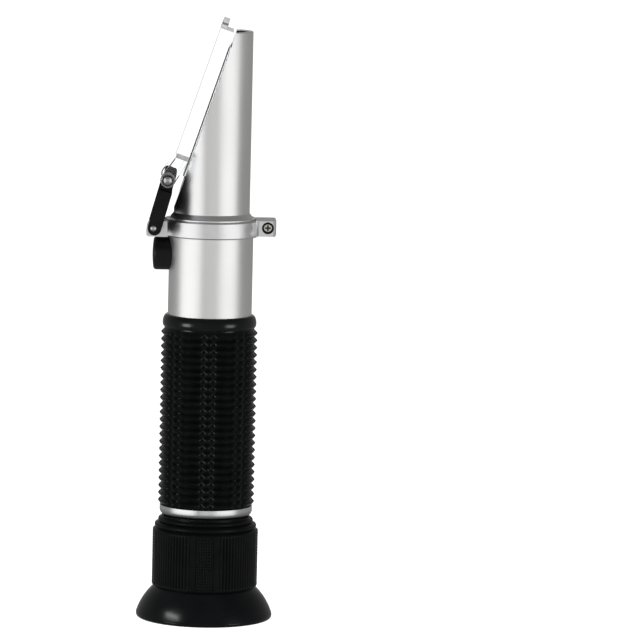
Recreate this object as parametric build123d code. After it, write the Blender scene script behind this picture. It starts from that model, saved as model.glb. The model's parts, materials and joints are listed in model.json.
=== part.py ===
"""Handheld refractometer: aluminium tube, slanted prism head with a clear cover, focusing eyepiece.

Frame: millimetres, +Z up along the optical axis, origin at the centre of the eyecup's rim.
The prism face and its cover are on the -X side, the collar's clamp lugs on the +X side, and every
pivot and screw of the collar lies along Y. Each function makes one sub-part where it sits at rest.
"""
import os
from math import asin, atan2, cos, degrees, hypot, radians, sin, sqrt

from build123d import *

# ---------------------------------------------------------------- fits
FIT = 0.03            # radial gap of a fixed fit
RUN = 0.05            # radial gap of a turning or sliding fit

# ---------------------------------------------------------------- main tube and collar
R_TUBE = 11.75
R_TUBE_BORE = 10.25
Z_TUBE_BOTTOM = 31.95
Z_TUBE_TOP = 112.45
GASKET = 0.25
R_COLLAR = 13.42
Z_COLLAR = (107.95, 112.65)
COLLAR_SPLIT = 0.8
BACK_LUG_X = (12.2, 18.15)
BACK_LUG_Y = 5.6
BACK_LUG_Z = (108.05, 113.1)
LUG_GROOVE_X, R_LUG_GROOVE = 12.75, 0.45    # upright groove where each back lug leaves the band
LUG_TO_FLANGE = 0.12   # gap between the back lugs and the rim of the head's flange
FRONT_LUG_X = (-18.15, -12.2)
FRONT_LUG_Y = 5.4
FRONT_LUG_Z = (107.8, 112.2)
FRONT_LUG_CORNER = 0.8
FRONT_LUG_NOSE = 2.6   # rounding of the lug's outer top corner, clear of the swinging link
CLAMP_X, CLAMP_Z = 15.7, 110.8
R_CLAMP_SCREW = 0.9
R_CLAMP_HEAD = 1.17
CLAMP_HEAD_HEIGHT = 1.6
CLAMP_SEAT_Y = -3.6    # floor of the counterbore under the clamp screw's head
HEAD_SINK_GAP = 0.5    # between the clamp screw's head and its counterbore

# ---------------------------------------------------------------- prism head
R_HEAD = 10.6
R_HEAD_BORE = 9.15
R_SPIGOT = R_TUBE_BORE - FIT
Z_SPIGOT = 106.7
Z_FLANGE = Z_TUBE_TOP + GASKET
R_FLANGE = 12.4
FLANGE_LAND = 0.35
R_CONE_FOOT = 11.7
Z_CONE_TOP = 114.4
Z_HEAD_TOP = 165.2
HEAD_EDGE = 0.15
CARRIER_SINK = 0.3     # from the head's top end down to the carrier's
SLOPE_DEG = 18.4      # angle between the measuring face and the optical axis
Z_SLOPE_FOOT = 115.8  # where the slanted face meets the head's -X side
PRISM_S = (9.4, 47.55)
PRISM_PROUD = 0.7
PRISM_HALF = 6.0
PRISM_BACK_X = 6.0
R_LIGHT_PATH = 5.6    # bore of the carrier and the baffle under the prism
BAFFLE_Z = (116.0, 118.0)
LIGHT_PATH_DEPTH = 11.0
SEAL_DEPTH = 0.8
SEAL_WIDTH = 0.65

# ---------------------------------------------------------------- cover and hinge link
COVER_N = (0.73, 4.42)
COVER_S = (15.2, 52.0)
COVER_HALF = 8.45
COVER_CORNER = 1.2
TAB_TOP_S = 54.7
TAB_RADIUS = 5.55
TAB_THICK = 1.7
EAR_Y = (9.65, 11.55)
EAR_RADIUS = 2.1
EAR_BEVEL = 0.3
YOKE_FOOT_S = 13.9
R_PIVOT_PIN = 0.8
R_PIVOT_HEAD = 1.1
COVER_PIN_END_Y = 6.1  # how near the middle each cover pin reaches
LOWER_PIVOT = (-16.1, 110.7)
UPPER_PIVOT_S, UPPER_PIVOT_N = 7.33, 4.3
LINK_HALF = 1.875
TONGUE_HALF = 1.65
LINK_SET_BACK = 0.325  # how far the link's plate sits in from the line through its pivots
LINK_WINDOW_Y = 5.7
TONGUE_Y = 9.6
TONGUE_BEVEL = 0.35
SHOULDER_BELOW = 3.2  # from the upper pivot down to the link's shoulder
TONGUE_ABOVE = 2.1    # from the upper pivot to the link's end
WINDOW_TOP = 4.4      # how far the window reaches from the lower pivot

# ---------------------------------------------------------------- calibration screw and objective
CAL_Z = 102.7
R_CAP = 4.65
CAP_FACE_X = -16.35
R_BUSH = 3.2
R_CAL_SCREW = 1.5
CELL_Z = (99.5, 106.0)
R_CELL = 9.0
R_CELL_BORE = 6.6
CELL_FLAT_X = 8.7
STRIP_X = (8.72, 9.3)
STRIP_HALF = 2.2
STRIP_Z = (71.0, 105.0)
STRIP_SCREW_Z = (72.5, 75.5)
R_STRIP_SCREW = 0.5
STRIP_RIVET_Z = (101.2, 104.2)
R_STRIP_RIVET = 0.4
CARRIER_Z = (56.0, 78.0)
SCALE_GLASS_Z = (54.5, CARRIER_Z[0])
R_SCALE_GLASS = 9.6
R_CARRIER_BORE = 6.8
RETAINER_Z = (52.5, SCALE_GLASS_Z[0])
FIELD_STOP_Z = (51.9, RETAINER_Z[0])
R_FIELD_STOP = 5.5

# ---------------------------------------------------------------- grip
GRIP_Z = (Z_TUBE_BOTTOM, 85.8)
RIDGES = 24
RIDGE_PITCH = 2.086
FIRST_RIDGE_Z = 33.2
R_RIDGE_TIP = 13.58
R_RIDGE_VALLEY = 12.6
R_GRIP_BEAD = 13.15
GRIP_BEAD_SINK = 1.7    # from the grip's top edge down to the widest part of its bead

# ---------------------------------------------------------------- eyepiece
Z_END_RING = 29.1
R_END_RING = 13.0
R_END_RING_FOOT = 11.95
R_END_BORE = 9.62
R_FOCUS_TUBE = 11.6
R_FOCUS_BORE = 8.55
Z_FOCUS_TUBE = (13.4, 37.5)
R_BARREL = R_FOCUS_BORE - RUN
R_BARREL_BORE = 7.6
BARREL_Z = (11.1, 34.0)
BARREL_FLANGE = 1.2
R_BARREL_FLANGE = 10.6
R_EYE_STOP = 6.9
EYE_LENS_Z = (BARREL_Z[0] + BARREL_FLANGE, 14.5)
SPACER_Z = (EYE_LENS_Z[1], 25.5)
FIELD_LENS_Z = (SPACER_Z[1], 27.7)
LENS_RETAINER_Z = (FIELD_LENS_Z[1], 29.7)
R_LENS_DOME = 6.2
R_SPACER_BORE = 6.4
FOCUS_TRAVEL = 4.0
R_FOCUS_RING = 14.84
FOCUS_RING_Z = (8.9, 28.9)
GUIDE_PIN_Z = 22.0
R_GUIDE_PIN = 0.75
R_EYECUP_RIM = 19.1
EYECUP_TOP = 8.85

# ---------------------------------------------------------------- frames worked out from the above
SLOPE = radians(SLOPE_DEG)
SLOPE_UP = (sin(SLOPE), cos(SLOPE))
SLOPE_OUT = (-cos(SLOPE), sin(SLOPE))


def on_slope(s, n):
    """X and Z of a point s up the slanted face and n out from it, in the plane Y = 0."""
    return (-R_HEAD + s * SLOPE_UP[0] + n * SLOPE_OUT[0], Z_SLOPE_FOOT + s * SLOPE_UP[1] + n * SLOPE_OUT[1])


UPPER_PIVOT = on_slope(UPPER_PIVOT_S, UPPER_PIVOT_N)
LINK_LENGTH = hypot(UPPER_PIVOT[0] - LOWER_PIVOT[0], UPPER_PIVOT[1] - LOWER_PIVOT[1])
LINK_LEAN = atan2(UPPER_PIVOT[0] - LOWER_PIVOT[0], UPPER_PIVOT[1] - LOWER_PIVOT[1])

# Slanted plane: local x runs up the face, local y along Y, local z out of it.
SLOPE_PLANE = Plane(origin=(-R_HEAD, 0, Z_SLOPE_FOOT), x_dir=(SLOPE_UP[0], 0, SLOPE_UP[1]),
                    z_dir=(SLOPE_OUT[0], 0, SLOPE_OUT[1]))
# Link plane: local x runs from the lower to the upper pivot, local z outwards.
LINK_PLANE = Plane(origin=(LOWER_PIVOT[0], 0, LOWER_PIVOT[1]), x_dir=(sin(LINK_LEAN), 0, cos(LINK_LEAN)),
                   z_dir=(-cos(LINK_LEAN), 0, sin(LINK_LEAN)))


# ---------------------------------------------------------------- shape helpers
ARC_MIDDLE = 1 - sqrt(0.5)   # from the square corner in to a quarter arc's middle, per unit of radius


def outline(*steps):
    """Closed face in the XZ plane. A step is a point (x, z), or two points: an arc through the first."""
    edges = []
    here = steps[0]
    for step in steps[1:] + (steps[0],):
        if isinstance(step[0], tuple):
            middle, there = step
            edges.append(Edge.make_three_point_arc((here[0], 0, here[1]), (middle[0], 0, middle[1]),
                                                   (there[0], 0, there[1])))
        else:
            there = step
            if there != here:
                edges.append(Edge.make_line((here[0], 0, here[1]), (there[0], 0, there[1])))
        here = there
    return Face(Wire(edges))


def turned(*steps):
    """Solid of revolution about Z from an outline of (radius, z) steps."""
    return revolve(outline(*steps), Axis.Z, 360)


def dome(radius, z_base, height):
    """Arc step from the edge of a round face to the top of a spherical dome on it; height may be negative."""
    ball = (radius ** 2 + height ** 2) / (2 * abs(height))
    half_turn = asin(radius / ball) / 2
    sink = ball * (1 - cos(half_turn))
    sign = 1 if height > 0 else -1
    return ((ball * sin(half_turn), z_base + height - sign * sink), (0, z_base + height))


def ring(z_low, z_high, r_out, r_in):
    return turned((r_in, z_low), (r_out, z_low), (r_out, z_high), (r_in, z_high))


def disc(z_low, z_high, radius):
    return Pos(0, 0, z_low) * Cylinder(radius, z_high - z_low, align=(Align.CENTER, Align.CENTER, Align.MIN))


def block(x, y, z):
    """Box between the given low and high values on each axis."""
    size = [high - low for low, high in (x, y, z)]
    middle = [(high + low) / 2 for low, high in (x, y, z)]
    return Pos(*middle) * Box(*size)


def rod_y(x, z, y_low, y_high, radius):
    """Round bar along Y."""
    return Pos(x, (y_low + y_high) / 2, z) * Rot(90, 0, 0) * Cylinder(radius, y_high - y_low)


def rod_x(z, x_low, x_high, radius):
    """Round bar along X, on the plane Y = 0."""
    return Pos((x_low + x_high) / 2, 0, z) * Rot(0, 90, 0) * Cylinder(radius, x_high - x_low)


def mirrored_pair(solid):
    """The solid and its mirror image across Y = 0, as two separate solids."""
    return [solid, mirror(solid, Plane.XZ)]


def above_slope(n_low):
    """Everything out from the slanted face beyond n_low."""
    reach = 40
    return SLOPE_PLANE * block((-reach, 2 * reach), (-reach, reach), (n_low, n_low + reach))


# ---------------------------------------------------------------- tube, collar and grip
def make_main_tube():
    tube = ring(Z_TUBE_BOTTOM, Z_TUBE_TOP, R_TUBE, R_TUBE_BORE)
    return tube - rod_x(CAL_Z, -R_TUBE - 1, 0, R_BUSH + 0.02)


def make_head_gasket():
    return ring(Z_TUBE_TOP, Z_FLANGE, R_TUBE - 0.1, R_TUBE_BORE)


def make_back_lugs():
    """Both clamp lugs as one block: rounded in side view, deepest at the split, back faces slanting."""
    x_low, x_high = BACK_LUG_X
    z_low, z_high = BACK_LUG_Z
    side_view = Pos((x_low + x_high) / 2, 0, (z_low + z_high) / 2) * Rot(90, 0, 0) \
        * extrude(RectangleRounded(x_high - x_low, z_high - z_low, 0.9), BACK_LUG_Y, both=True)
    outer_drop = 0.35
    end_view = Plane.YZ * make_face(Polyline(
        (0, z_low), (BACK_LUG_Y, z_low + outer_drop), (BACK_LUG_Y, z_high - outer_drop), (0, z_high),
        (-BACK_LUG_Y, z_high - outer_drop), (-BACK_LUG_Y, z_low + outer_drop), close=True))
    end_view = extrude(end_view, x_high + 1)
    slant, bevel = 0.55, 0.5
    plan = make_face(Polyline(
        (x_low, -BACK_LUG_Y), (x_high - slant - bevel, -BACK_LUG_Y), (x_high - slant, bevel - BACK_LUG_Y),
        (x_high, 0), (x_high - slant, BACK_LUG_Y - bevel), (x_high - slant - bevel, BACK_LUG_Y),
        (x_low, BACK_LUG_Y), close=True))
    plan = Pos(0, 0, z_low - 1) * extrude(plan, z_high - z_low + 2)
    return side_view & end_view & plan


def make_front_lug():
    x_low, x_high = FRONT_LUG_X
    z_low, z_high = FRONT_LUG_Z
    corner, nose = FRONT_LUG_CORNER, FRONT_LUG_NOSE
    side_view = outline(
        (x_high, z_low), (x_low + corner, z_low),
        ((x_low + corner * ARC_MIDDLE, z_low + corner * ARC_MIDDLE), (x_low, z_low + corner)),
        (x_low, z_high - nose),
        ((x_low + nose * ARC_MIDDLE, z_high - nose * ARC_MIDDLE), (x_low + nose, z_high)), (x_high, z_high))
    return extrude(side_view, FRONT_LUG_Y, both=True)


def make_hinge_collar():
    z_low, z_high = Z_COLLAR
    edge = 0.35
    band = turned((R_TUBE, z_low), (R_COLLAR - edge, z_low), (R_COLLAR, z_low + edge),
                  (R_COLLAR, z_high - edge), (R_COLLAR - edge, z_high), (R_TUBE, z_high))
    collar = band + make_back_lugs() + make_front_lug()
    inside = Pos(0, 0, (z_low + z_high) / 2) * Cylinder(R_TUBE + FIT, 20)
    split = block((0, BACK_LUG_X[1] + 1), (-COLLAR_SPLIT / 2, COLLAR_SPLIT / 2), (z_low - 5, z_high + 5))
    flange_room = disc(z_high, z_high + 5, R_FLANGE + LUG_TO_FLANGE)
    collar = collar - inside - split - flange_room
    for side in (-1, 1):
        collar -= Pos(LUG_GROOVE_X, side * BACK_LUG_Y, CLAMP_Z) * Cylinder(R_LUG_GROOVE, 20)
    collar -= rod_y(CLAMP_X, CLAMP_Z, -10, 10, R_CLAMP_SCREW + FIT)
    collar -= rod_y(CLAMP_X, CLAMP_Z, -10, CLAMP_SEAT_Y, R_CLAMP_HEAD + HEAD_SINK_GAP)
    collar -= nut_blank(4.06, 3.8, 8.0)
    collar -= rod_y(*LOWER_PIVOT, -10, 10, R_PIVOT_PIN + 0.02)
    return collar


def nut_blank(across_flats, y_low, y_high):
    hexagon = RegularPolygon(across_flats / sqrt(3), 6)
    return Pos(CLAMP_X, y_high, CLAMP_Z) * Rot(90, 0, 0) * extrude(hexagon, y_high - y_low)


def make_clamp_nut():
    return nut_blank(4.0, 3.8, 5.3) - rod_y(CLAMP_X, CLAMP_Z, 0, 8, R_CLAMP_SCREW + FIT)


def make_clamp_screw():
    head_y = CLAMP_SEAT_Y - CLAMP_HEAD_HEIGHT
    head = rod_y(CLAMP_X, CLAMP_Z, head_y, CLAMP_SEAT_Y, R_CLAMP_HEAD)
    head = fillet(head.edges().sort_by(Axis.Y)[0], 0.25)
    screw = head + rod_y(CLAMP_X, CLAMP_Z, CLAMP_SEAT_Y - 0.1, 5.2, R_CLAMP_SCREW)
    arm, half_width, depth = 0.8, 0.24, 0.6
    for half_x, half_z in ((arm, half_width), (half_width, arm)):
        screw -= block((CLAMP_X - half_x, CLAMP_X + half_x), (head_y - 1, head_y + depth),
                       (CLAMP_Z - half_z, CLAMP_Z + half_z))
    return screw


def make_grip_sleeve():
    """Moulded rubber sleeve: a stack of V ridges under a plain rounded bead."""
    z_low, z_high = GRIP_Z
    steps = [(R_TUBE + FIT, z_low), (R_RIDGE_VALLEY + 0.3, z_low), (R_RIDGE_VALLEY, z_low + 0.25)]
    for i in range(RIDGES):
        z_tip = FIRST_RIDGE_Z + i * RIDGE_PITCH
        steps.append((R_RIDGE_TIP, z_tip))
        steps.append((R_RIDGE_VALLEY, z_tip + RIDGE_PITCH / 2))
    widest = z_high - GRIP_BEAD_SINK
    steps += [(R_RIDGE_VALLEY, widest - 1.25), ((R_GRIP_BEAD - 0.12, widest - 0.72), (R_GRIP_BEAD, widest)),
              ((R_GRIP_BEAD - 0.35, widest + 1.05), (R_TUBE + 0.2, z_high)), (R_TUBE + FIT, z_high)]
    return turned(*steps)


# ---------------------------------------------------------------- prism head
def prism_outline(grow):
    """The wedge in side view, with every face moved out by grow: level base, upright back, cut tip."""
    s_low, s_high = PRISM_S
    low_x, low_z = on_slope(s_low, PRISM_PROUD)
    high_x, high_z = on_slope(s_high + grow, PRISM_PROUD)
    tip_depth = (PRISM_BACK_X + grow - high_x) / cos(SLOPE)
    tip_x, tip_z = on_slope(s_high + grow, PRISM_PROUD - tip_depth)
    return outline((low_x - grow * 0.9, low_z - grow), (high_x, high_z), (tip_x, tip_z),
                   (PRISM_BACK_X + grow, low_z - grow))


def make_prism():
    return extrude(prism_outline(0), PRISM_HALF, both=True)


def prism_pocket():
    return extrude(prism_outline(FIT), PRISM_HALF + FIT, both=True)


def seal_block(gap):
    s_low, s_high = PRISM_S
    reach = SEAL_WIDTH + gap
    return SLOPE_PLANE * block((s_low - reach, s_high + reach), (-PRISM_HALF - reach, PRISM_HALF + reach),
                               (-SEAL_DEPTH, 2 * gap))


def make_prism_seal():
    s_low, s_high = PRISM_S
    window = SLOPE_PLANE * block((s_low - FIT, s_high + FIT), (-PRISM_HALF - FIT, PRISM_HALF + FIT), (-2, 2))
    return seal_block(0) - window


def make_prism_head():
    """Machined tube, spigot and cone below, cut off by the slanted face, pocketed for prism and seal."""
    body = turned((R_HEAD_BORE, Z_SPIGOT), (R_SPIGOT, Z_SPIGOT), (R_SPIGOT, Z_FLANGE), (R_FLANGE, Z_FLANGE),
                  (R_FLANGE, Z_FLANGE + FLANGE_LAND), (R_CONE_FOOT, Z_FLANGE + FLANGE_LAND),
                  (R_HEAD, Z_CONE_TOP), (R_HEAD, Z_HEAD_TOP - HEAD_EDGE),
                  (R_HEAD - HEAD_EDGE, Z_HEAD_TOP), (R_HEAD_BORE, Z_HEAD_TOP))
    return body - above_slope(0) - prism_pocket() - seal_block(FIT)


def make_prism_carrier():
    """Black moulding that fills the head behind the prism and closes its top end."""
    core = disc(BAFFLE_Z[1], Z_HEAD_TOP - CARRIER_SINK, R_HEAD_BORE - FIT)
    light_path = disc(BAFFLE_Z[1] - 1, BAFFLE_Z[1] + LIGHT_PATH_DEPTH, R_LIGHT_PATH)
    return core - above_slope(-0.08) - prism_pocket() - seal_block(FIT) - light_path


def make_light_baffle():
    z_low, z_high = BAFFLE_Z
    return turned((R_LIGHT_PATH + 0.6, z_low), (R_HEAD_BORE - FIT, z_low), (R_HEAD_BORE - FIT, z_high),
                  (R_LIGHT_PATH, z_high))


# ---------------------------------------------------------------- cover, link and pivots
def ear_plate(y_low, y_high):
    """Flat ear in side view: round about the upper pivot, widening up to the yoke."""
    foot = [on_slope(YOKE_FOOT_S + 0.2, n) for n in COVER_N]
    centre = Vector(UPPER_PIVOT[0], UPPER_PIVOT[1])
    eye = Pos(*centre) * Circle(EAR_RADIUS)
    hull = make_hull([*eye.edges(), Edge.make_line(foot[0], foot[1])])
    ear = Plane.XZ * Pos(0, 0, -y_high) * extrude(hull, y_high - y_low)
    outside = ear.faces().sort_by(Axis.Y)[-1]
    rim = [edge for edge in outside.edges() if edge.center().Z < min(foot[0][1], foot[1][1])]
    return chamfer(rim, EAR_BEVEL)


def make_cover_plate():
    """Clear daylight plate: thumb tab on top, yoke and two ears below."""
    s_low, s_high = COVER_S
    n_low, n_high = COVER_N
    sheet = RectangleRounded(s_high - s_low + 4, 2 * COVER_HALF, COVER_CORNER)
    sheet = Pos((s_high + s_low - 4) / 2, 0, n_low) * extrude(sheet, n_high - n_low)
    trim = block((-10, s_low - 0.6), (-20, 20), (-1, 10))
    tab = Pos(TAB_TOP_S - TAB_RADIUS, 0, n_high - TAB_THICK) * extrude(Circle(TAB_RADIUS), TAB_THICK)
    tab &= block((s_high - 1, TAB_TOP_S + 1), (-10, 10), (-1, 10))
    yoke = block((YOKE_FOOT_S, s_low), (-EAR_Y[1], EAR_Y[1]), (n_low, n_high))
    cover = SLOPE_PLANE * (sheet - trim + tab + yoke)
    for ear in mirrored_pair(ear_plate(*EAR_Y)):
        cover += ear
    return cover - rod_y(*UPPER_PIVOT, -20, 20, R_PIVOT_PIN + RUN)


def make_hinge_link():
    """Black link: two arms that straddle the collar's lug, joined by a narrower tongue at the cover end."""
    shoulder = LINK_LENGTH - SHOULDER_BELOW
    end = LINK_LENGTH + TONGUE_ABOVE
    arms = block((0, shoulder), (-EAR_Y[1], EAR_Y[1]), (-LINK_HALF, LINK_HALF))
    arms += Rot(90, 0, 0) * Cylinder(LINK_HALF, 2 * EAR_Y[1])
    tongue = block((shoulder - 1, end), (-TONGUE_Y, TONGUE_Y), (-TONGUE_HALF, TONGUE_HALF))
    tongue = chamfer(tongue.edges().filter_by(Axis.Y).group_by(Axis.X)[-1], TONGUE_BEVEL)
    link = arms + tongue - block((-5, WINDOW_TOP), (-LINK_WINDOW_Y, LINK_WINDOW_Y), (-5, 5))
    link = LINK_PLANE * Pos(0, 0, -LINK_SET_BACK) * link
    link -= rod_y(*LOWER_PIVOT, -20, 20, R_PIVOT_PIN + RUN)
    for y_low, y_high in ((-20, -COVER_PIN_END_Y + 0.1), (COVER_PIN_END_Y - 0.1, 20)):
        link -= rod_y(*UPPER_PIVOT, y_low, y_high, R_PIVOT_PIN + 0.02)
    return link


def pin_along_y(x, z, *steps):
    """Turned pin from (radius, y) steps, its axis along Y through x, z."""
    return Pos(x, 0, z) * Rot(-90, 0, 0) * turned(*steps)


def make_hinge_pin():
    """One rivet through lug and both link arms, domed at each end."""
    face, crown = EAR_Y[1] + 0.05, 0.35
    half = pin_along_y(*LOWER_PIVOT, (0, 0), (R_PIVOT_PIN, 0), (R_PIVOT_PIN, face),
                       dome(R_PIVOT_PIN, face, crown))
    return half + mirror(half, Plane.XZ)


def make_cover_pins():
    """Two short headed pins, pressed into the tongue, that the cover's ears turn on."""
    face, crown = EAR_Y[1] + 0.05, 0.3
    r, head = R_PIVOT_PIN, R_PIVOT_HEAD
    rim = face + 0.1
    pin = pin_along_y(*UPPER_PIVOT, (0, COVER_PIN_END_Y), (r, COVER_PIN_END_Y), (r, face), (head, face),
                      (head, rim), dome(head, rim, crown))
    return Compound(children=mirrored_pair(pin))


# ---------------------------------------------------------------- calibration screw and objective
def make_calibration_bush():
    bush = rod_x(CAL_Z, -14.4, -9.6, R_BUSH)
    return bush - rod_x(CAL_Z, -20, 0, R_CAL_SCREW + RUN)


def make_calibration_screw():
    screw = rod_x(CAL_Z, -14.0, -9.25, R_CAL_SCREW)
    screw = chamfer(screw.edges().filter_by(GeomType.CIRCLE), 0.2)
    return screw - block((-15, -13.2), (-0.25, 0.25), (CAL_Z - 3, CAL_Z + 3))


def make_calibration_cap():
    """Rubber cap over the bush, its rim shaped to the tube."""
    edge, crown = 0.9, 0.25
    face_z = -CAP_FACE_X - crown
    face = turned((0, 8), (R_CAP, 8), (R_CAP, face_z - edge),
                  ((R_CAP - edge * ARC_MIDDLE, face_z - edge * ARC_MIDDLE), (R_CAP - edge, face_z)),
                  dome(R_CAP - edge, face_z, crown))
    cap = Pos(0, 0, CAL_Z) * Rot(0, -90, 0) * face
    cap -= rod_x(CAL_Z, -14.5, 0, R_BUSH + RUN)
    return cap - Pos(0, 0, CAL_Z) * Cylinder(R_TUBE + RUN, 20)


def make_objective_cell():
    z_low, z_high = CELL_Z
    cell = turned((R_CELL_BORE - 0.8, z_low), (R_CELL, z_low), (R_CELL, z_high), (R_CELL_BORE, z_high),
                  (R_CELL_BORE, z_low + 1.0), (R_CELL_BORE - 0.8, z_low + 1.0))
    cell -= block((CELL_FLAT_X, 12), (-6, 6), (z_low - 1, z_high + 1))
    for z in STRIP_RIVET_Z:
        cell -= rod_x(z, CELL_FLAT_X - 1.2, 12, R_STRIP_RIVET + 0.02)
    return cell


def lens(z_low, z_high, radius, dome_radius, crown):
    """Round lens with a flat land and one domed side: crown is the dome's height, negative if downwards."""
    land_z = z_high if crown > 0 else z_low
    flat_z = z_low if crown > 0 else z_high
    return turned((0, flat_z), (radius, flat_z), (radius, land_z), (dome_radius, land_z),
                  dome(dome_radius, land_z, crown))


def make_objective_lens():
    return lens(CELL_Z[0] + 1.0, CELL_Z[0] + 3.4, R_CELL_BORE - FIT, 6.0, 1.1)


def make_bimetal_strip():
    """Flat strip that carries the objective cell; it bends as the temperature changes."""
    strip = block(STRIP_X, (-STRIP_HALF, STRIP_HALF), STRIP_Z)
    for z in STRIP_SCREW_Z:
        strip -= rod_x(z, 8, 10, R_STRIP_SCREW + 0.1)
    for z in STRIP_RIVET_Z:
        strip -= rod_x(z, 8, 10, R_STRIP_RIVET + 0.02)
    return strip


def headed_stud(z, x_tip, x_seat, radius, head_radius, head_height):
    shank = rod_x(z, x_tip, x_seat, radius)
    return shank + rod_x(z, x_seat, x_seat + head_height, head_radius)


def make_strip_screws():
    screws = [headed_stud(z, 7.4, STRIP_X[1] + 0.04, R_STRIP_SCREW, 0.95, 0.45) for z in STRIP_SCREW_Z]
    return Compound(children=screws)


def make_strip_rivets():
    rivets = [headed_stud(z, 7.6, STRIP_X[1], R_STRIP_RIVET, 0.75, 0.3) for z in STRIP_RIVET_Z]
    return Compound(children=rivets)


def make_optics_carrier():
    """Black ring inside the tube: the strip's foot is screwed to its flat, the scale glass sits under it."""
    z_low, z_high = CARRIER_Z
    carrier = ring(z_low, z_high, R_TUBE_BORE - FIT, R_CARRIER_BORE)
    carrier -= block((STRIP_X[0] - 0.04, 12), (-6, 6), (STRIP_Z[0] - 0.5, z_high + 1))
    for z in STRIP_SCREW_Z:
        carrier -= rod_x(z, 7.3, 12, R_STRIP_SCREW + 0.02)
    return carrier


def make_scale_glass():
    return disc(*SCALE_GLASS_Z, R_SCALE_GLASS)


def make_scale_retainer():
    z_low, z_high = RETAINER_Z
    return turned((7.6, z_low), (R_TUBE_BORE - FIT, z_low), (R_TUBE_BORE - FIT, z_high), (8.2, z_high))


def make_field_stop():
    return ring(*FIELD_STOP_Z, R_TUBE_BORE - FIT, R_FIELD_STOP)


# ---------------------------------------------------------------- eyepiece
def make_end_ring():
    """Bright bead that closes the tube and the grip, with a spigot up the bore."""
    return turned((R_END_BORE, Z_END_RING), (R_END_RING_FOOT, Z_END_RING),
                  ((R_END_RING - 0.22, Z_END_RING + 0.75), (R_END_RING, Z_END_RING + 1.9)),
                  (R_END_RING, Z_TUBE_BOTTOM), (R_SPIGOT, Z_TUBE_BOTTOM), (R_SPIGOT, Z_TUBE_BOTTOM + 6),
                  (R_END_BORE, Z_TUBE_BOTTOM + 6))


def make_focus_tube():
    """Fixed sleeve with a shoulder under the end ring; the focus ring runs on it, the lens barrel in it."""
    z_low, z_high = Z_FOCUS_TUBE
    sleeve = turned((R_FOCUS_BORE, z_low), (R_FOCUS_TUBE - 0.3, z_low), (R_FOCUS_TUBE, z_low + 0.3),
                    (R_FOCUS_TUBE, Z_END_RING), (R_END_BORE - FIT, Z_END_RING), (R_END_BORE - FIT, z_high),
                    (R_FOCUS_BORE, z_high))
    return sleeve - rod_y(0, GUIDE_PIN_Z, 0, 20, R_GUIDE_PIN + 0.02)


def make_guide_pin():
    return rod_y(0, GUIDE_PIN_Z, 7.75, R_FOCUS_TUBE - 0.1, R_GUIDE_PIN)


def make_lens_barrel():
    """Barrel that slides without turning: a flange below, a slot for the guide pin in its side."""
    z_low, z_high = BARREL_Z
    seat_z = z_low + BARREL_FLANGE
    barrel = turned((R_EYE_STOP, z_low), (R_BARREL_FLANGE, z_low), (R_BARREL_FLANGE, seat_z),
                    (R_BARREL, seat_z), (R_BARREL, z_high), (R_BARREL_BORE, z_high),
                    (R_BARREL_BORE, seat_z), (R_EYE_STOP, seat_z))
    half = R_GUIDE_PIN + RUN
    slot_low, slot_high = GUIDE_PIN_Z, GUIDE_PIN_Z + FOCUS_TRAVEL
    slot = block((-half, half), (5, 12), (slot_low, slot_high))
    for z in (slot_low, slot_high):
        slot += rod_y(0, z, 5, 12, half)
    return barrel - slot


def make_eye_lens():
    return lens(*EYE_LENS_Z, R_BARREL_BORE - FIT, R_LENS_DOME, 1.6)


def make_lens_spacer():
    return ring(*SPACER_Z, R_BARREL_BORE - FIT, R_SPACER_BORE)


def make_field_lens():
    return lens(*FIELD_LENS_Z, R_BARREL_BORE - FIT, R_LENS_DOME, -1.4)


def make_lens_retainer():
    return ring(*LENS_RETAINER_Z, R_BARREL_BORE - FIT, R_SPACER_BORE)


def make_focus_ring():
    """Moulded ring the fingers turn: a drum, three sharp steps above it and the eyecup's seat below."""
    r = R_FOCUS_RING
    z_low, z_high = FOCUS_RING_Z
    bore = R_FOCUS_TUBE + RUN
    return turned(
        (9.4, 6.5), (12.0, 6.5), (12.0, 7.2), (11.5, 7.4), (11.5, 8.1), (12.0, 8.3), (12.0, z_low),
        (r - 0.6, z_low), (r, z_low + 0.6), (r, 24.8), (r - 0.35, 25.2), (13.85, 25.65),
        (14.25, 26.0), (14.15, 26.75), (12.95, 27.25), (13.3, 27.55), (13.2, 28.25), (12.4, 28.55),
        (12.3, z_high), (bore, z_high), (bore, 13.15), (12.2, 13.15), (12.2, 12.4), (bore, 12.4),
        (bore, 11.05), (7.8, 11.05))


def make_barrel_circlip():
    """Open wire ring in the focus ring's groove: it carries the barrel's flange along."""
    clip = ring(12.45, 13.1, 12.1, 9.9)
    return clip - block((0, 15), (-1.5, 1.5), (10, 15))


def make_eyecup():
    """Soft flared cup snapped over the seat under the focus ring; its rim is a flat narrow ring."""
    top = EYECUP_TOP
    return turned(
        (17.7, 0), (18.6, 0), ((18.98, 0.3), (R_EYECUP_RIM, 0.9)), (R_EYECUP_RIM, 1.3),
        ((17.35, 5.1), (14.6, 8.5)), (14.3, top), (12.03, top), (12.03, 8.31), (11.53, 8.11),
        (11.53, 7.39), (12.03, 7.19), (12.03, 6.3), ((15.7, 3.6), (17.7, 0)))


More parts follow.
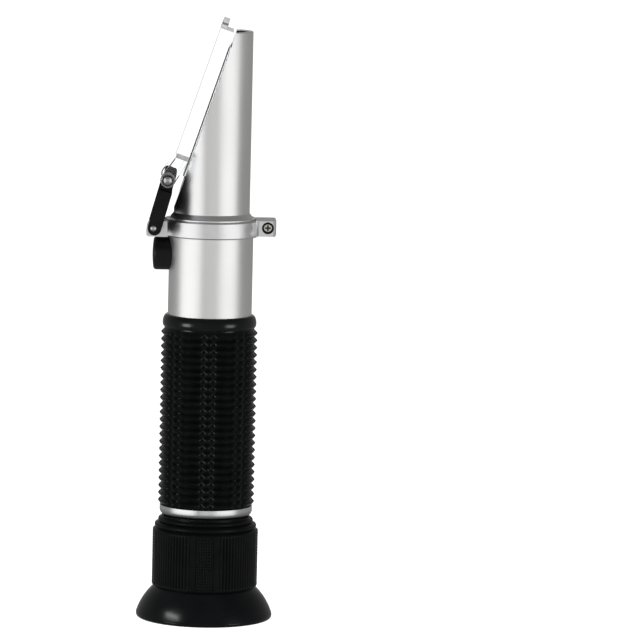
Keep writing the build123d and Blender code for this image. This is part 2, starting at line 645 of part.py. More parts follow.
# ---------------------------------------------------------------- every sub-part, by node name
PARTS = {
    "main_tube": make_main_tube,
    "head_gasket": make_head_gasket,
    "hinge_collar": make_hinge_collar,
    "clamp_screw": make_clamp_screw,
    "clamp_nut": make_clamp_nut,
    "grip_sleeve": make_grip_sleeve,
    "prism_head": make_prism_head,
    "prism": make_prism,
    "prism_seal": make_prism_seal,
    "prism_carrier": make_prism_carrier,
    "light_baffle": make_light_baffle,
    "cover_plate": make_cover_plate,
    "hinge_link": make_hinge_link,
    "hinge_pin": make_hinge_pin,
    "cover_pins": make_cover_pins,
    "calibration_bush": make_calibration_bush,
    "calibration_screw": make_calibration_screw,
    "calibration_cap": make_calibration_cap,
    "objective_cell": make_objective_cell,
    "objective_lens": make_objective_lens,
    "bimetal_strip": make_bimetal_strip,
    "strip_screws": make_strip_screws,
    "strip_rivets": make_strip_rivets,
    "optics_carrier": make_optics_carrier,
    "scale_glass": make_scale_glass,
    "scale_retainer": make_scale_retainer,
    "field_stop": make_field_stop,
    "end_ring": make_end_ring,
    "focus_tube": make_focus_tube,
    "guide_pin": make_guide_pin,
    "lens_barrel": make_lens_barrel,
    "eye_lens": make_eye_lens,
    "lens_spacer": make_lens_spacer,
    "field_lens": make_field_lens,
    "lens_retainer": make_lens_retainer,
    "focus_ring": make_focus_ring,
    "barrel_circlip": make_barrel_circlip,
    "eyecup": make_eyecup,
}


def main():
    os.makedirs("parts", exist_ok=True)
    for name, make in PARTS.items():
        export_step(make(), f"parts/{name}.step")
        print(name)
    print("lower pivot x, z:", LOWER_PIVOT)
    print("upper pivot x, z:", tuple(round(v, 4) for v in UPPER_PIVOT))
    print("link lean, degrees:", round(degrees(LINK_LEAN), 3), "length:", round(LINK_LENGTH, 3))


main()
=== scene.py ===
"""Looks of the handheld refractometer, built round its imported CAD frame.

Metres, +Z up along the optical axis, the prism face and its cover on the -X side.
The moulded grip and the ribbed focus ring are remade here with their full surface pattern;
every other CAD piece keeps its shape and gets a procedural material.
"""
import json
from math import cos, pi, radians, sin, sqrt

import bpy
from mathutils import Matrix, Vector

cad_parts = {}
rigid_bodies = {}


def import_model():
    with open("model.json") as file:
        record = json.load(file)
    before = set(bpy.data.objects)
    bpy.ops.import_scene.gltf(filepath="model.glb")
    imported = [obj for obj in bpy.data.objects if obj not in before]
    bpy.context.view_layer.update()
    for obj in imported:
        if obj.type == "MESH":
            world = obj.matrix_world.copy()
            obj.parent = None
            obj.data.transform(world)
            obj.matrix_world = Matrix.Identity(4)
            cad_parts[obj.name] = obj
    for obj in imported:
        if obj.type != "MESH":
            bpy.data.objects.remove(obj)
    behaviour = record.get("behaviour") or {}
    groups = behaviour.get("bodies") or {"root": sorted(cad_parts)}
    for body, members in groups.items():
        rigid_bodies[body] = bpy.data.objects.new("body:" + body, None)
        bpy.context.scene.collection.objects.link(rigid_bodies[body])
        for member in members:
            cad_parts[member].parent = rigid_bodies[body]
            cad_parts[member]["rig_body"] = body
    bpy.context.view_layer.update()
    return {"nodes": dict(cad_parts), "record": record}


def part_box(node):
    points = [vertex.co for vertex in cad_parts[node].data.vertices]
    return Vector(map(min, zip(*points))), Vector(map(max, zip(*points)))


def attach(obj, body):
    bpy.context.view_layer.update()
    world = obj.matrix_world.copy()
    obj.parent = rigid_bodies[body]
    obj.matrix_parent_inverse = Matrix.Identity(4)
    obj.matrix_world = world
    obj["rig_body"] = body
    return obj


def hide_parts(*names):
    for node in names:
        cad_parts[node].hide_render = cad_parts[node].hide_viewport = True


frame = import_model()

MM = 0.001
X_AXIS, Y_AXIS, Z_AXIS = (1, 0, 0), (0, 1, 0), (0, 0, 1)

# ---------------------------------------------------------------- places on the object, in metres
SLOPE = radians(18.4)              # between the prism face and the optical axis
SLOPE_UP = (sin(SLOPE), 0, cos(SLOPE))
SLOPE_OUT = (-cos(SLOPE), 0, sin(SLOPE))
COVER_FOOT = 0.1210                # up the slope from the origin: the cover's sawn foot ends, its frosted tab begins, and the painted shade of its fold runs across the tab
TAB_FROST = 0.1583                 # its frosted tab begins,
TAB_FOLD = (0.15935, 0.15995)      # and the dark fold runs across the tab
PRISM_EDGE = 0.04693               # out from the origin: the prism's blackened edge begins
COVER_PIVOT = (-0.0123665, 0.1241126)      # x and z
PIVOT_RING = (0.00172, 0.00215)            # radii of the frosted ring round the cover's pivot
CLAMP_AXIS = (0.0157, 0.1108)              # x and z of the clamp screw
CLAMP_RECESS_RADIUS = 0.00175
CLAMP_SEAT_Y = (-0.0052, -0.0030)          # depths of the painted shade in the hole that the screw's head sits in and of the painted shade in the cross cut into the head
CLAMP_HEAD_Y = (-0.0050, -0.0030)          # and of the dark cross cut into the head
LUG_GROOVE = (0.01275, -0.0056)            # x and y of the upright groove beside the clamp lug
LUG_GROOVE_RADIUS = 0.00050
# painted shade in the groove beside the clamp lug lies between these x
LUG_SHADE_X = (0.01262, 0.01288)
LUG_SHADE_Z = (0.1100, 0.1120)             # the painted shade in that groove fades between these heights
END_RING_SHADE_Z = (0.0296, 0.0312)        # the end ring darkens down this height, over the black focus ring
BEAD_START_Z = 0.0822                      # the glossy bead round the grip's top end begins

# ---------------------------------------------------------------- camera
FOCAL_PX = 5000.0         # focal length over the width of one pixel, for a 640-pixel frame
FRAME_PX = 640
SENSOR_MM = 36.0
CAMERA_DISTANCE = 1.390   # from the optical axis, level
CAMERA_HEIGHT = 0.25542
CAMERA_PITCH = radians(7.0)     # looking down
CAMERA_YAW = radians(1.274)     # looking past the instrument, so that it stands left of the middle
CAMERA_ROLL = radians(1.33)


def make_camera():
    data = bpy.data.cameras.new("camera")
    data.sensor_width = SENSOR_MM
    data.lens = SENSOR_MM * FOCAL_PX / FRAME_PX
    data.clip_start, data.clip_end = 0.05, 20.0
    camera = bpy.data.objects.new("camera", data)
    bpy.context.scene.collection.objects.link(camera)
    turn = Matrix.Rotation(-CAMERA_YAW, 4, "Z") @ Matrix.Rotation(pi / 2 - CAMERA_PITCH, 4, "X")
    camera.matrix_world = Matrix.Translation((0, -CAMERA_DISTANCE, CAMERA_HEIGHT)) @ turn \
        @ Matrix.Rotation(CAMERA_ROLL, 4, "Z")
    bpy.context.scene.camera = camera
    bpy.context.scene.view_settings.view_transform = "Standard"


# ---------------------------------------------------------------- shader nodes
class Graph:
    """A node tree with helpers that add a node or two and return the output socket."""

    def __init__(self, tree):
        self.nodes, self.links = tree.nodes, tree.links

    def coordinates(self, name):
        return self.nodes.new("ShaderNodeTexCoord").outputs[name]

    def math(self, operation, *values):
        """Result of a Math node; each value is a socket or a number."""
        node = self.nodes.new("ShaderNodeMath")
        node.operation = operation
        for socket, value in zip(node.inputs, values):
            if isinstance(value, (int, float)):
                socket.default_value = value
            else:
                self.links.new(value, socket)
        return node.outputs[0]

    def along(self, vector, axis):
        """Dot product of a vector socket with a fixed axis."""
        node = self.nodes.new("ShaderNodeVectorMath")
        node.operation = "DOT_PRODUCT"
        node.inputs[1].default_value = axis
        self.links.new(vector, node.inputs[0])
        return node.outputs["Value"]

    def ranged(self, value, low, high, start=0.3, end=0.7):
        """Low to high as the value goes from start to end, and held there outside that."""
        node = self.nodes.new("ShaderNodeMapRange")
        for name, number in (("From Min", start), ("From Max", end), ("To Min", low), ("To Max", high)):
            node.inputs[name].default_value = number
        self.links.new(value, node.inputs["Value"])
        return node.outputs["Result"]

    def between(self, value, low, high, soft):
        """1 while the value lies between low and high, with soft edges."""
        rise = self.ranged(value, 0.0, 1.0, low - soft, low + soft)
        fall = self.ranged(value, 1.0, 0.0, high - soft, high + soft)
        return self.math("MULTIPLY", rise, fall)


class Surface(Graph):
    """A Principled material with helpers that hang procedural detail on it."""

    def __init__(self, name, color, roughness, metallic=0.0, specular=0.5):
        self.material = bpy.data.materials.new(name)
        self.material.use_nodes = True
        super().__init__(self.material.node_tree)
        self.shader = self.nodes["Principled BSDF"]
        self.set("Base Color", (*color, 1))
        self.set("Roughness", roughness)
        self.set("Metallic", metallic)
        self.set("Specular IOR Level", specular)
        self.slot, self.color, self.roughness, self.specular = name, color, roughness, specular
        self.place = self.coordinates("Object")

    def set(self, name, value):
        self.shader.inputs[name].default_value = value
        return self

    def feed(self, name, socket):
        """Feeds one of the shader's inputs."""
        self.links.new(socket, self.shader.inputs[name])
        return self

    def feeding(self, name):
        """The socket that already feeds one of the shader's inputs."""
        return self.shader.inputs[name].links[0].from_socket

    def squareness(self, axis):
        """1 where the surface is square to an axis, from either side, and 0 where it runs along it."""
        return self.math("ABSOLUTE", self.along(self.coordinates("Normal"), axis))

    def off_axis(self, across, middle):
        """Distance from an axis that runs square to the two named directions, through middle."""
        split = self.nodes.new("ShaderNodeSeparateXYZ")
        self.links.new(self.place, split.inputs[0])
        offs = [self.math("SUBTRACT", split.outputs[name], at) for name, at in zip(across, middle)]
        return self.math("SQRT", self.math("ADD", *[self.math("MULTIPLY", off, off) for off in offs]))

    def noise(self, per_metre, detail=3.0, stretch=(1, 1, 1)):
        mapping = self.nodes.new("ShaderNodeMapping")
        mapping.inputs["Scale"].default_value = stretch
        self.links.new(self.place, mapping.inputs["Vector"])
        node = self.nodes.new("ShaderNodeTexNoise")
        node.inputs["Scale"].default_value = per_metre
        node.inputs["Detail"].default_value = detail
        self.links.new(mapping.outputs["Vector"], node.inputs["Vector"])
        return node.outputs["Fac"]

    def grain(self, per_metre, height_mm, stretch=(1, 1, 1), detail=2.0):
        """Fine surface texture as bump."""
        bump = self.nodes.new("ShaderNodeBump")
        bump.inputs["Distance"].default_value = height_mm * MM
        bump.inputs["Strength"].default_value = 1.0
        self.links.new(self.noise(per_metre, detail, stretch), bump.inputs["Height"])
        return self.feed("Normal", bump.outputs["Normal"])

    def mottled(self, per_metre, shade, gloss, stretch=(1, 1, 1)):
        """Colour and roughness drift by the given shares over the surface."""
        patches = self.noise(per_metre, 4.0, stretch)
        mix = self.nodes.new("ShaderNodeMix")
        mix.data_type = "RGBA"
        mix.inputs["A"].default_value = (*[c * (1 - shade) for c in self.color], 1)
        mix.inputs["B"].default_value = (*[min(1.0, c * (1 + shade)) for c in self.color], 1)
        self.links.new(self.ranged(patches, 0, 1), mix.inputs["Factor"])
        self.feed("Base Color", mix.outputs["Result"])
        low, high = self.roughness * (1 - gloss), self.roughness * (1 + gloss)
        return self.feed("Roughness", self.ranged(patches, low, high))

    def tinted(self, factor, color):
        """Blends the base colour towards another by the factor."""
        socket = self.shader.inputs["Base Color"]
        mix = self.nodes.new("ShaderNodeMix")
        mix.data_type = "RGBA"
        if socket.is_linked:
            self.links.new(self.feeding("Base Color"), mix.inputs["A"])
        else:
            mix.inputs["A"].default_value = socket.default_value
        mix.inputs["B"].default_value = (*color, 1)
        self.links.new(factor, mix.inputs["Factor"])
        return self.feed("Base Color", mix.outputs["Result"])


# ---------------------------------------------------------------- materials
def clear(name, color, ior, roughness=0.0):
    surface = Surface(name, color, roughness)
    return surface.set("Transmission Weight", 1.0).set("IOR", ior)


def frosted_cover(surface):
    """Clear plate, faintly grey through its broad faces; its sawn foot and its tab are frosted."""
    broad = surface.squareness(SLOPE_OUT)
    surface.tinted(surface.ranged(broad, 0.0, 1.0, 0.9, 0.95), (0.76, 0.80, 0.82))
    facing = surface.squareness(SLOPE_UP)
    up = surface.along(surface.place, SLOPE_UP)
    foot = surface.ranged(up, 1.0, 0.0, COVER_FOOT, COVER_FOOT + 0.0001)
    sawn = surface.math("MULTIPLY", surface.ranged(facing, 0.0, 1.0, 0.75, 0.85), foot)
    tab = surface.ranged(up, 0.0, 1.0, TAB_FROST - 0.0001, TAB_FROST + 0.0001)
    frost = surface.math("MAXIMUM", sawn, tab)
    surface.tinted(sawn, (0.40, 0.40, 0.40))
    surface.tinted(tab, (0.55, 0.55, 0.55))
    # painted shade: a dark band along the tab's fold
    surface.tinted(surface.between(up, *TAB_FOLD, 0.0001), (0.10, 0.10, 0.11))
    surface.feed("Roughness", surface.ranged(frost, surface.roughness, 0.45, 0, 1))
    return surface.feed("Transmission Weight", surface.ranged(frost, 1.0, 0.35, 0, 1))


def ringed_ears(surface):
    """Cover: pale frosted ring round its pivot, where the ears are thinned."""
    ring = surface.between(surface.off_axis("XZ", COVER_PIVOT), *PIVOT_RING, 0.00004)
    surface.tinted(ring, (0.24, 0.24, 0.25))
    kept = surface.ranged(ring, 1.0, 0.5, 0, 1)
    clearness = surface.math("MULTIPLY", surface.feeding("Transmission Weight"), kept)
    return surface.feed("Transmission Weight", clearness)


def sides_with_painted_highlight(surface):
    """Prism: its upright sides are black along the measuring face and white next to the head, a painted
    highlight for the light caught on the head's edge.
    """
    side = surface.ranged(surface.squareness(Y_AXIS), 0.0, 1.0, 0.9, 0.95)
    out = surface.along(surface.place, SLOPE_OUT)
    outer = surface.ranged(out, 0.0, 1.0, PRISM_EDGE - 0.00004, PRISM_EDGE + 0.00004)
    # painted highlight: the white band on the sides stands in for the light caught on the head's edge
    surface.tinted(side, (0.96, 0.96, 0.96))
    surface.tinted(surface.math("MULTIPLY", side, outer), (0.012, 0.012, 0.022))
    surface.feed("Transmission Weight", surface.ranged(side, 1.0, 0.0, 0, 1))
    return surface.feed("Roughness", surface.ranged(side, 0.0, 0.4, 0, 1))


def polished_slope(surface, roughness):
    """The face flush with the prism is polished; the rest keeps its own roughness."""
    outward = surface.along(surface.coordinates("Normal"), SLOPE_OUT)
    facing = surface.ranged(outward, 0.0, 1.0, 0.975, 0.985)
    mix = surface.nodes.new("ShaderNodeMix")
    surface.links.new(facing, mix.inputs["Factor"])
    surface.links.new(surface.feeding("Roughness"), mix.inputs["A"])
    mix.inputs["B"].default_value = roughness
    surface.feed("Roughness", mix.outputs["Result"])
    return surface.feed("Specular IOR Level", surface.ranged(facing, surface.specular, 0.5, 0, 1))


def shaded_foot(surface, heights):
    """Darkens the surface from the upper of two heights down to the lower one."""
    up = surface.along(surface.place, Z_AXIS)
    return surface.tinted(surface.ranged(up, 0.85, 0.0, *heights), (0.05, 0.05, 0.05))


def painted_recess_shade(surface, depths):
    """Painted shade round the clamp screw's axis, between two depths along Y."""
    off = surface.off_axis("XZ", CLAMP_AXIS)
    near = surface.ranged(off, 1.0, 0.0, CLAMP_RECESS_RADIUS, CLAMP_RECESS_RADIUS + 0.00005)
    deep = surface.between(surface.along(surface.place, Y_AXIS), *depths, 0.00005)
    return surface.tinted(surface.math("MULTIPLY", near, deep), (0.03, 0.03, 0.03))


def painted_groove_shade(surface):
    """Painted shade in the groove where the clamp lug leaves the collar's band, fading upwards."""
    off = surface.off_axis("XY", LUG_GROOVE)
    near = surface.ranged(off, 1.0, 0.0, LUG_GROOVE_RADIUS, LUG_GROOVE_RADIUS + 0.00008)
    across = surface.between(surface.along(surface.place, X_AXIS), *LUG_SHADE_X, 0.00012)
    low = surface.ranged(surface.along(surface.place, Z_AXIS), 1.0, 0.2, *LUG_SHADE_Z)
    groove_shade = surface.math("MULTIPLY", surface.math("MULTIPLY", near, across), low)
    return surface.tinted(groove_shade, (0.04, 0.04, 0.04))


def dull_ends(surface):
    """Link: only its broad sides, square to Y, have any gloss."""
    gloss = surface.ranged(surface.squareness(Y_AXIS), 0.0, surface.specular, 0.2, 0.8)
    return surface.feed("Specular IOR Level", gloss)


def glossy_bead(surface, ridges, bead):
    """Grip: the bead round its top end shines more than the ridges below it."""
    up = surface.along(surface.place, Z_AXIS)
    gloss = surface.ranged(up, ridges, bead, BEAD_START_Z - 0.0001, BEAD_START_Z)
    return surface.feed("Specular IOR Level", gloss)


def metals():
    return [
        polished_slope(Surface("satin_aluminium", (0.845, 0.845, 0.842), 0.38, 1.0)
                       .mottled(90, 0.02, 0.10, (1, 1, 0.4)).grain(5200, 0.004), 0.06),
        # painted shade in the clamp screw's hole and in the groove beside the clamp lug
        painted_groove_shade(painted_recess_shade(Surface("cast_aluminium", (0.80, 0.80, 0.81), 0.37, 1.0)
                                .mottled(300, 0.05, 0.15).grain(2600, 0.012), CLAMP_SEAT_Y)),
        shaded_foot(Surface("bright_aluminium", (0.74, 0.745, 0.75), 0.30, 1.0)
                    .mottled(200, 0.02, 0.2).grain(6000, 0.002, (1, 1, 8)), END_RING_SHADE_Z),
        Surface("black_anodised", (0.022, 0.022, 0.024), 0.42).mottled(400, 0.1, 0.1).grain(6000, 0.003),
        # painted shade in the cross cut into the screw's head
        painted_recess_shade(Surface("screw_steel", (0.56, 0.54, 0.50), 0.24, 1.0)
                    .mottled(1200, 0.12, 0.25).grain(5000, 0.004), CLAMP_HEAD_Y),
        Surface("pin_steel", (0.50, 0.50, 0.51), 0.26, 1.0).mottled(1200, 0.06, 0.3).grain(5000, 0.003),
        Surface("brass", (0.72, 0.54, 0.25), 0.26, 1.0).mottled(700, 0.06, 0.2).grain(5000, 0.003),
        Surface("bimetal", (0.60, 0.52, 0.34), 0.3, 1.0).mottled(500, 0.08, 0.2).grain(4000, 0.003, (6, 6, 1)),
    ]


def rubbers_and_plastics():
    return [
        glossy_bead(Surface("grip_rubber", (0.0032, 0.0042, 0.0042), 0.21)
                    .mottled(240, 0.25, 0.16).grain(7000, 0.006), 0.10, 0.24),
        Surface("eyecup_rubber", (0.0026, 0.0030, 0.0034), 0.22, 0.0, 0.16)
        .mottled(160, 0.25, 0.16).grain(6500, 0.004),
        Surface("cap_rubber", (0.0045, 0.0045, 0.0048), 0.42, 0.0, 0.25)
        .mottled(300, 0.2, 0.12).grain(6500, 0.006),
        Surface("focus_ring_plastic", (0.0036, 0.0040, 0.0042), 0.36, 0.0, 0.07)
        .mottled(220, 0.25, 0.14).grain(6500, 0.004),
        dull_ends(Surface("link_plastic", (0.0085, 0.0085, 0.0088), 0.45, 0.0, 0.05)
                  .mottled(260, 0.2, 0.2).grain(4200, 0.004)),
        polished_slope(Surface("black_plastic", (0.006, 0.006, 0.007), 0.75, 0.0, 0.08)
                       .mottled(300, 0.2, 0.1).grain(5000, 0.004), 0.05),
        Surface("seal_rubber", (0.012, 0.012, 0.012), 0.6, 0.0, 0.3).mottled(500, 0.2, 0.1).grain(6000, 0.004),
    ]


def glasses():
    return [
        ringed_ears(frosted_cover(clear("clear_acrylic", (0.985, 0.992, 0.995), 1.35, 0.01))).grain(60, 0.004),
        sides_with_painted_highlight(clear("prism_glass", (0.45, 0.48, 0.56), 1.72)).grain(200, 0.0002),
        clear("lens_glass", (0.90, 0.96, 0.97), 1.52).grain(200, 0.0002),
    ]


def make_materials():
    """Surfaces by the name of their material slot."""
    return {surface.slot: surface for surface in metals() + rubbers_and_plastics() + glasses()}


# ---------------------------------------------------------------- stage and light
FLOOR_HALF = 8.0
FLOOR_GLOW = (0.90, 1.02)          # near the object and far from it, where the lamps don't reach
FLOOR_GLOW_RADII = (0.3, 1.2)
ROOM_LEVEL, OVERHEAD_LEVEL = 0.30, 0.17    # the room is dim, and darkest straight overhead
ROOM_HEIGHTS = (0.15, 0.75)        # height shares of the sky between which it dims
BEHIND = (0.975, 0.985)            # the room turns white round the direction straight behind the object
MIDDLE = (0, 0, 0.09)              # what the lamps point at

# Upright panels: degrees round the object (0 in front, right positive), distance, width, height, radiance.
# The softboxes light the metal and the clear parts; the streaks light only the black mouldings.
SOFTBOXES = {
    "softbox_left": (-58, 0.9, 1.15, 0.9, 1.02),
    "softbox_right": (50, 0.9, 0.96, 0.9, 0.96),
    "softbox_front": (0, 1.8, 0.9, 1.3, 0.46),
}
STREAKS = {
    "streak_left": (-57, 0.9, 0.30, 0.30, 10.0),
    "streak_right": (52, 0.9, 0.30, 0.30, 8.0),
}
GLINT_PLACE, GLINT_SIZE, GLINT_LEVEL = (-0.78, -0.45, 0.50), (0.42, 0.12), 22.0     # lights the eyecup alone
EDGE_PLACE, EDGE_SIZE, EDGE_LEVEL = (-0.2, -1.2, 0.35), (0.3, 0.3), 28.0            # lights the prism alone
BLACK_MOULDINGS = ("eyecup", "calibration_cap", "hinge_link")


def make_floor():
    half = FLOOR_HALF
    corners = [(-half, -half, 0), (half, -half, 0), (half, half, 0), (-half, half, 0)]
    mesh = bpy.data.meshes.new("floor")
    mesh.from_pydata(corners, [], [(0, 1, 2, 3)])
    floor = bpy.data.objects.new("floor", mesh)
    bpy.context.scene.collection.objects.link(floor)
    white = Surface("floor_white", (0.6, 0.6, 0.6), 0.9, 0.0, 0.1)
    white.set("Emission Color", (1, 1, 1, 1))
    away = white.nodes.new("ShaderNodeVectorMath")
    away.operation = "LENGTH"
    white.links.new(white.place, away.inputs[0])
    white.feed("Emission Strength", white.ranged(away.outputs["Value"], *FLOOR_GLOW, *FLOOR_GLOW_RADII))
    mesh.materials.append(white.material)
    floor.visible_glossy = False    # the tubes mirror the softboxes and the dim room, not the floor


def make_room():
    """White where it is seen, directly or through glass, and straight behind the object; dim elsewhere."""
    world = bpy.data.worlds.new("studio")
    bpy.context.scene.world = world
    world.use_nodes = True
    room = Graph(world.node_tree)
    room.nodes.clear()
    out = room.nodes.new("ShaderNodeOutputWorld")
    direction = room.coordinates("Generated")
    dim = room.nodes.new("ShaderNodeBackground")
    dim.inputs["Color"].default_value = (1.0, 1.0, 0.99, 1)
    level = room.ranged(room.along(direction, Z_AXIS), ROOM_LEVEL, OVERHEAD_LEVEL, *ROOM_HEIGHTS)
    room.links.new(level, dim.inputs["Strength"])
    white = room.nodes.new("ShaderNodeBackground")
    white.inputs["Strength"].default_value = 1.0
    path = room.nodes.new("ShaderNodeLightPath")
    seen = room.math("MAXIMUM", path.outputs["Is Camera Ray"], path.outputs["Is Transmission Ray"])
    behind = room.ranged(room.along(direction, Y_AXIS), 0.0, 1.0, *BEHIND)
    mix = room.nodes.new("ShaderNodeMixShader")
    room.links.new(room.math("MAXIMUM", seen, behind), mix.inputs["Fac"])
    room.links.new(dim.outputs[0], mix.inputs[1])
    room.links.new(white.outputs[0], mix.inputs[2])
    room.links.new(mix.outputs[0], out.inputs["Surface"])


def softbox(name, location, width, height, watts):
    data = bpy.data.lights.new(name, "AREA")
    data.shape = "RECTANGLE"
    data.size, data.size_y = width, height
    data.energy = watts
    light = bpy.data.objects.new(name, data)
    light.location = location
    light.rotation_euler = (Vector(MIDDLE) - Vector(location)).to_track_quat("-Z", "Y").to_euler()
    light.visible_camera = False
    bpy.context.scene.collection.objects.link(light)
    return light


def panel(name, azimuth_deg, distance, width, height, radiance):
    turn = radians(azimuth_deg)
    location = (distance * sin(turn), -distance * cos(turn), MIDDLE[2])
    return softbox(name, location, width, height, radiance * pi * width * height)


def collect(name, pieces):
    collection = bpy.data.collections.new(name)
    for piece in pieces:
        collection.objects.link(piece)
    return collection


def light_only(light, receivers):
    light.light_linking.receiver_collection = receivers


def light_all_but(light, excluded):
    others = bpy.data.collections.new(light.name + "_lights")
    others.children.link(excluded)
    light.light_linking.receiver_collection = others
    others.collection_children[0].light_linking.link_state = "EXCLUDE"


def make_lamps():
    """The black mouldings are lit by narrow lights of their own, everything else by the wide softboxes."""
    moulded = [bpy.data.objects[name] for name in ("grip_moulding", "focus_ring_moulding")]
    black = collect("black_mouldings", moulded + [frame["nodes"][name] for name in BLACK_MOULDINGS])
    for name, numbers in SOFTBOXES.items():
        light_all_but(panel(name, *numbers), black)
    overhead = softbox("softbox_top", (0, -0.1, 1.0), 0.8, 0.8, 5)
    overhead.visible_glossy = False
    for name, numbers in STREAKS.items():
        light_only(panel(name, *numbers), black)
    width, height = GLINT_SIZE
    glint = softbox("glint_left", GLINT_PLACE, width, height, GLINT_LEVEL * pi * width * height)
    light_only(glint, collect("eyecup_alone", [frame["nodes"]["eyecup"]]))
    width, height = EDGE_SIZE
    edge_lamp = softbox("edge_lamp", EDGE_PLACE, width, height, EDGE_LEVEL * pi * width * height)
    light_only(edge_lamp, collect("prism_alone", [frame["nodes"]["prism"]]))


# ---------------------------------------------------------------- turned and moulded meshes
def turned_mesh(name, outline, angles, relief):
    """Closed ring: an outline of (radius, z) points in millimetres, swept through the angles in radians.

    relief(angle, z) is added to the radius of each point that has a third value.
    """
    verts = []
    for angle in angles:
        for point in outline:
            r = point[0]
            if len(point) > 2:
                r += relief(angle, point[1])
            verts.append((r * MM * cos(angle), r * MM * sin(angle), point[1] * MM))
    count, rows = len(outline), len(angles)
    faces = []
    for i in range(rows):
        here, there = i * count, (i + 1) % rows * count
        for j in range(count):
            k = (j + 1) % count
            faces.append((here + j, there + j, there + k, here + k))
    mesh = bpy.data.meshes.new(name)
    mesh.from_pydata(verts, [], faces)
    mesh.validate()
    piece = bpy.data.objects.new(name, mesh)
    bpy.context.scene.collection.objects.link(piece)
    return piece


def finish_piece(piece, node, slot, materials, smooth_deg):
    """Stands the piece in for its CAD node, with that node's body and material slot."""
    mesh = piece.data
    mesh.materials.append(materials[slot].material)
    mesh.shade_smooth()
    mesh.set_sharp_from_angle(angle=radians(smooth_deg))
    body = frame["nodes"][node]["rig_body"]
    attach(piece, body)
    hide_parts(node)


# Grip, in millimetres: V ridges round the sleeve, with a column of small pyramids cut in at eight places
GRIP_BORE = 11.79
RIDGES = 24
RIDGE_PITCH = 2.071
FIRST_RIDGE_Z = 33.06
RIDGE_TIP, RIDGE_VALLEY = 13.58, 12.6
BEAD_RADIUS, BEAD_TOP_RADIUS = 13.15, 11.95
BEAD_SINK, BEAD_FOOT = 2.35, 1.2      # from the bead's widest part up to its top and down to its foot
BEAD_FOOT_STEPS, BEAD_TOP_STEPS = 5, 9
ZONES = 8
COLUMN_DEG = 13.2        # width of a column of pyramids
STEPS = 4                # mesh steps up each flank of a ridge or pyramid
TIP_SOFTNESS = 0.06      # rounding of tips and roots, as a share of half a pitch
PANEL_SIXTEENTHS = (1, 2, 4, 6, 8, 10, 12, 14, 15)     # mesh steps across the plain panel between columns


def soft_wave(distance):
    """Triangle wave: 1 on a tip (distance 0) and 0 in a root (distance 1), both a little rounded."""
    e = TIP_SOFTNESS
    tip = sqrt(distance * distance + e * e)
    root = sqrt((1 - distance) ** 2 + e * e)
    return 0.5 + 0.5 * (root - tip) / (sqrt(1 + e * e) - e)


def grip_angles():
    """Angles in degrees, closer where a zone's grooves need them."""
    zone, half = 360 / ZONES, COLUMN_DEG / 2
    column_steps = [i * COLUMN_DEG / (2 * STEPS) - half for i in range(2 * STEPS + 1)]
    plain = zone - COLUMN_DEG
    plain_steps = [half + plain * i / 16 for i in PANEL_SIXTEENTHS]
    return [z * zone + a for z in range(ZONES) for a in column_steps + plain_steps]


def column_wave(angle):
    """Height share round the grip: 1 on a column's tips and on the plain panels, 0 in the grooves between."""
    zone, half = 360 / ZONES, COLUMN_DEG / 2
    off = (angle * 180 / pi + zone / 2) % zone - zone / 2
    if abs(off) > half:
        panel_share = (abs(off) - half) / (zone / 2 - half)
        return min(1.0, soft_wave(1 - min(1.0, panel_share * 4)))
    across = (off + half) / COLUMN_DEG
    return soft_wave(abs(2 * (across % 1) - 1))


def grip_relief(angle, z):
    """Height of the pattern over the valley radius, in millimetres."""
    up = (z - FIRST_RIDGE_Z) / RIDGE_PITCH + 0.5
    ridge = soft_wave(abs(2 * (up % 1) - 1))
    return (RIDGE_TIP - RIDGE_VALLEY) * min(ridge, column_wave(angle))


def bead_outline(z_high):
    """A quarter ellipse up to the bead's widest part, and another over its top."""
    widest = z_high - BEAD_SINK
    foot = [(RIDGE_VALLEY, BEAD_FOOT, pi / 2 * (i / BEAD_FOOT_STEPS - 1)) for i in range(BEAD_FOOT_STEPS)]
    top = [(BEAD_TOP_RADIUS, BEAD_SINK, pi / 2 * i / BEAD_TOP_STEPS) for i in range(BEAD_TOP_STEPS + 1)]
    return [(root + (BEAD_RADIUS - root) * cos(turn), widest + height * sin(turn))
            for root, height, turn in foot + top]


def make_grip(materials):
    low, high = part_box("grip_sleeve")
    z_low, z_high = low.z / MM, high.z / MM
    outline = [(GRIP_BORE, z_low), (RIDGE_VALLEY, z_low), (RIDGE_VALLEY + 0.05, z_low + 0.08)]
    start = FIRST_RIDGE_Z - RIDGE_PITCH / 2
    rows = RIDGES * 2 * STEPS
    outline += [(RIDGE_VALLEY, start + RIDGE_PITCH * i / (2 * STEPS), True) for i in range(rows + 1)]
    outline += bead_outline(z_high)
    outline.append((GRIP_BORE, z_high))
    angles = [radians(a) for a in grip_angles()]
    piece = turned_mesh("grip_moulding", outline, angles, grip_relief)
    finish_piece(piece, "grip_sleeve", "grip_rubber", materials, 50)


# Focus ring, in millimetres: fine upright ribs, cut across in four panels, with plain strips beside those
RIBS = 96
RIB_HEIGHT = 0.32
RIB_GROOVE = 0.28        # half width of the groove between ribs, as a share of their pitch
CROSS_PITCH = 0.82
CROSS_PANEL_RIBS = 5
PLAIN_RIBS = 2
PLAIN_DEPTH = 0.12
DRUM_RADIUS = 14.84
DRUM_Z = (8.9, 25.2)
RIB_ENDS = (0.7, 0.55)   # from the drum's ends to the ribs' ends
RIB_FADE = 0.25


def groove_depth(share):
    """1 in the middle of a groove, at a share of 0 or 1 of the pitch, and 0 on the rib between."""
    return 1 - min(1.0, min(share, 1 - share) / RIB_GROOVE)


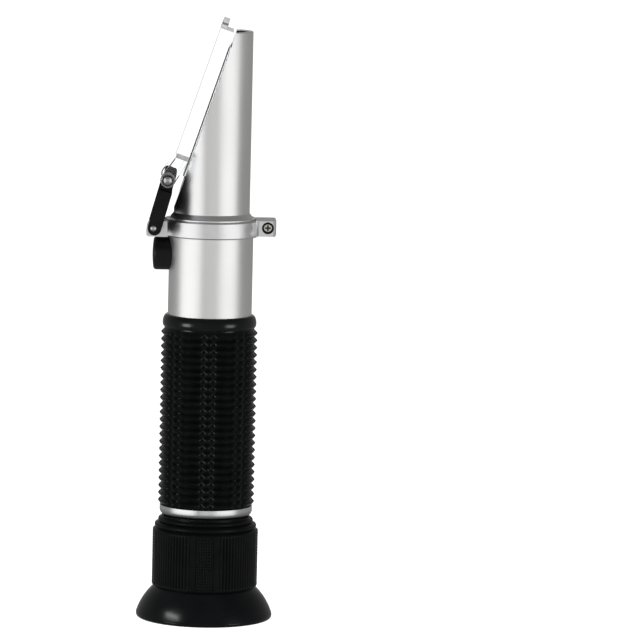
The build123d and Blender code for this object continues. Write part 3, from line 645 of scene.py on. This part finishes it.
def rib_relief(angle, z):
    """Depth below the drum's radius, in millimetres, as a negative number."""
    rib = 360 / RIBS
    quarter = (angle * 180 / pi + 45) % 90 - 45
    place = abs(quarter) / rib
    from_end = min(z - DRUM_Z[0] - RIB_ENDS[0], DRUM_Z[1] - RIB_ENDS[1] - z)
    margin = min(1.0, max(0.0, from_end / RIB_FADE))
    if CROSS_PANEL_RIBS / 2 < place < CROSS_PANEL_RIBS / 2 + PLAIN_RIBS:
        return -PLAIN_DEPTH * margin
    depth = groove_depth((quarter / rib + 0.5) % 1)
    if place <= CROSS_PANEL_RIBS / 2:
        depth = max(depth, groove_depth((z - DRUM_Z[0]) / CROSS_PITCH % 1))
    return -RIB_HEIGHT * depth * margin


def make_focus_ring(materials):
    z_low, z_top = DRUM_Z
    r = DRUM_RADIUS
    socket = [(7.8, 11.05), (9.4, 6.5), (12.0, 6.5), (12.0, 7.2), (11.5, 7.4), (11.5, 8.1), (12.0, 8.3),
              (12.0, z_low)]       # the spigot that holds the eyecup
    edge = [(r - 0.55, z_low), (r - 0.38, z_low + 0.06), (r - 0.16, z_low + 0.22), (r - 0.04, z_low + 0.45),
            (r, z_low + 0.65)]
    quarter_pitch = CROSS_PITCH / 4
    rows = int((z_top - z_low - sum(RIB_ENDS)) / quarter_pitch)
    ribbed = [(r, z_low + RIB_ENDS[0] + quarter_pitch * i, True) for i in range(rows)]
    shoulder = [(r, 24.72), (r - 0.08, 24.95), (r - 0.30, 25.16), (r - 0.60, 25.26), (13.85, 25.65)]
    steps = [(13.98, 25.78), (14.22, 25.90), (14.28, 26.05), (14.26, 26.45), (14.12, 26.72), (13.7, 26.88),
             (12.98, 27.22), (13.05, 27.36), (13.26, 27.48), (13.32, 27.62), (13.28, 27.98), (13.14, 28.22),
             (12.8, 28.36), (12.36, 28.52), (12.3, 28.9)]
    bore = [(11.65, 28.9), (11.65, 13.15), (12.2, 13.15), (12.2, 12.4), (11.65, 12.4), (11.65, 11.05)]
    turns = RIBS * 6
    angles = [2 * pi * i / turns for i in range(turns)]
    outline = socket + edge + ribbed + shoulder + steps + bore
    piece = turned_mesh("focus_ring_moulding", outline, angles, rib_relief)
    finish_piece(piece, "focus_ring", "focus_ring_plastic", materials, 40)


# ---------------------------------------------------------------- CAD pieces that keep their shape
def dress_cad_nodes(materials):
    slots = {part["node"]: part["material_slot"] for part in frame["record"]["subparts"]}
    for name, node in frame["nodes"].items():
        node.data.materials.clear()
        node.data.materials.append(materials[slots[name]].material)


def main():
    materials = make_materials()
    dress_cad_nodes(materials)
    make_grip(materials)
    make_focus_ring(materials)
    make_floor()
    make_room()
    make_lamps()
    make_camera()


main()
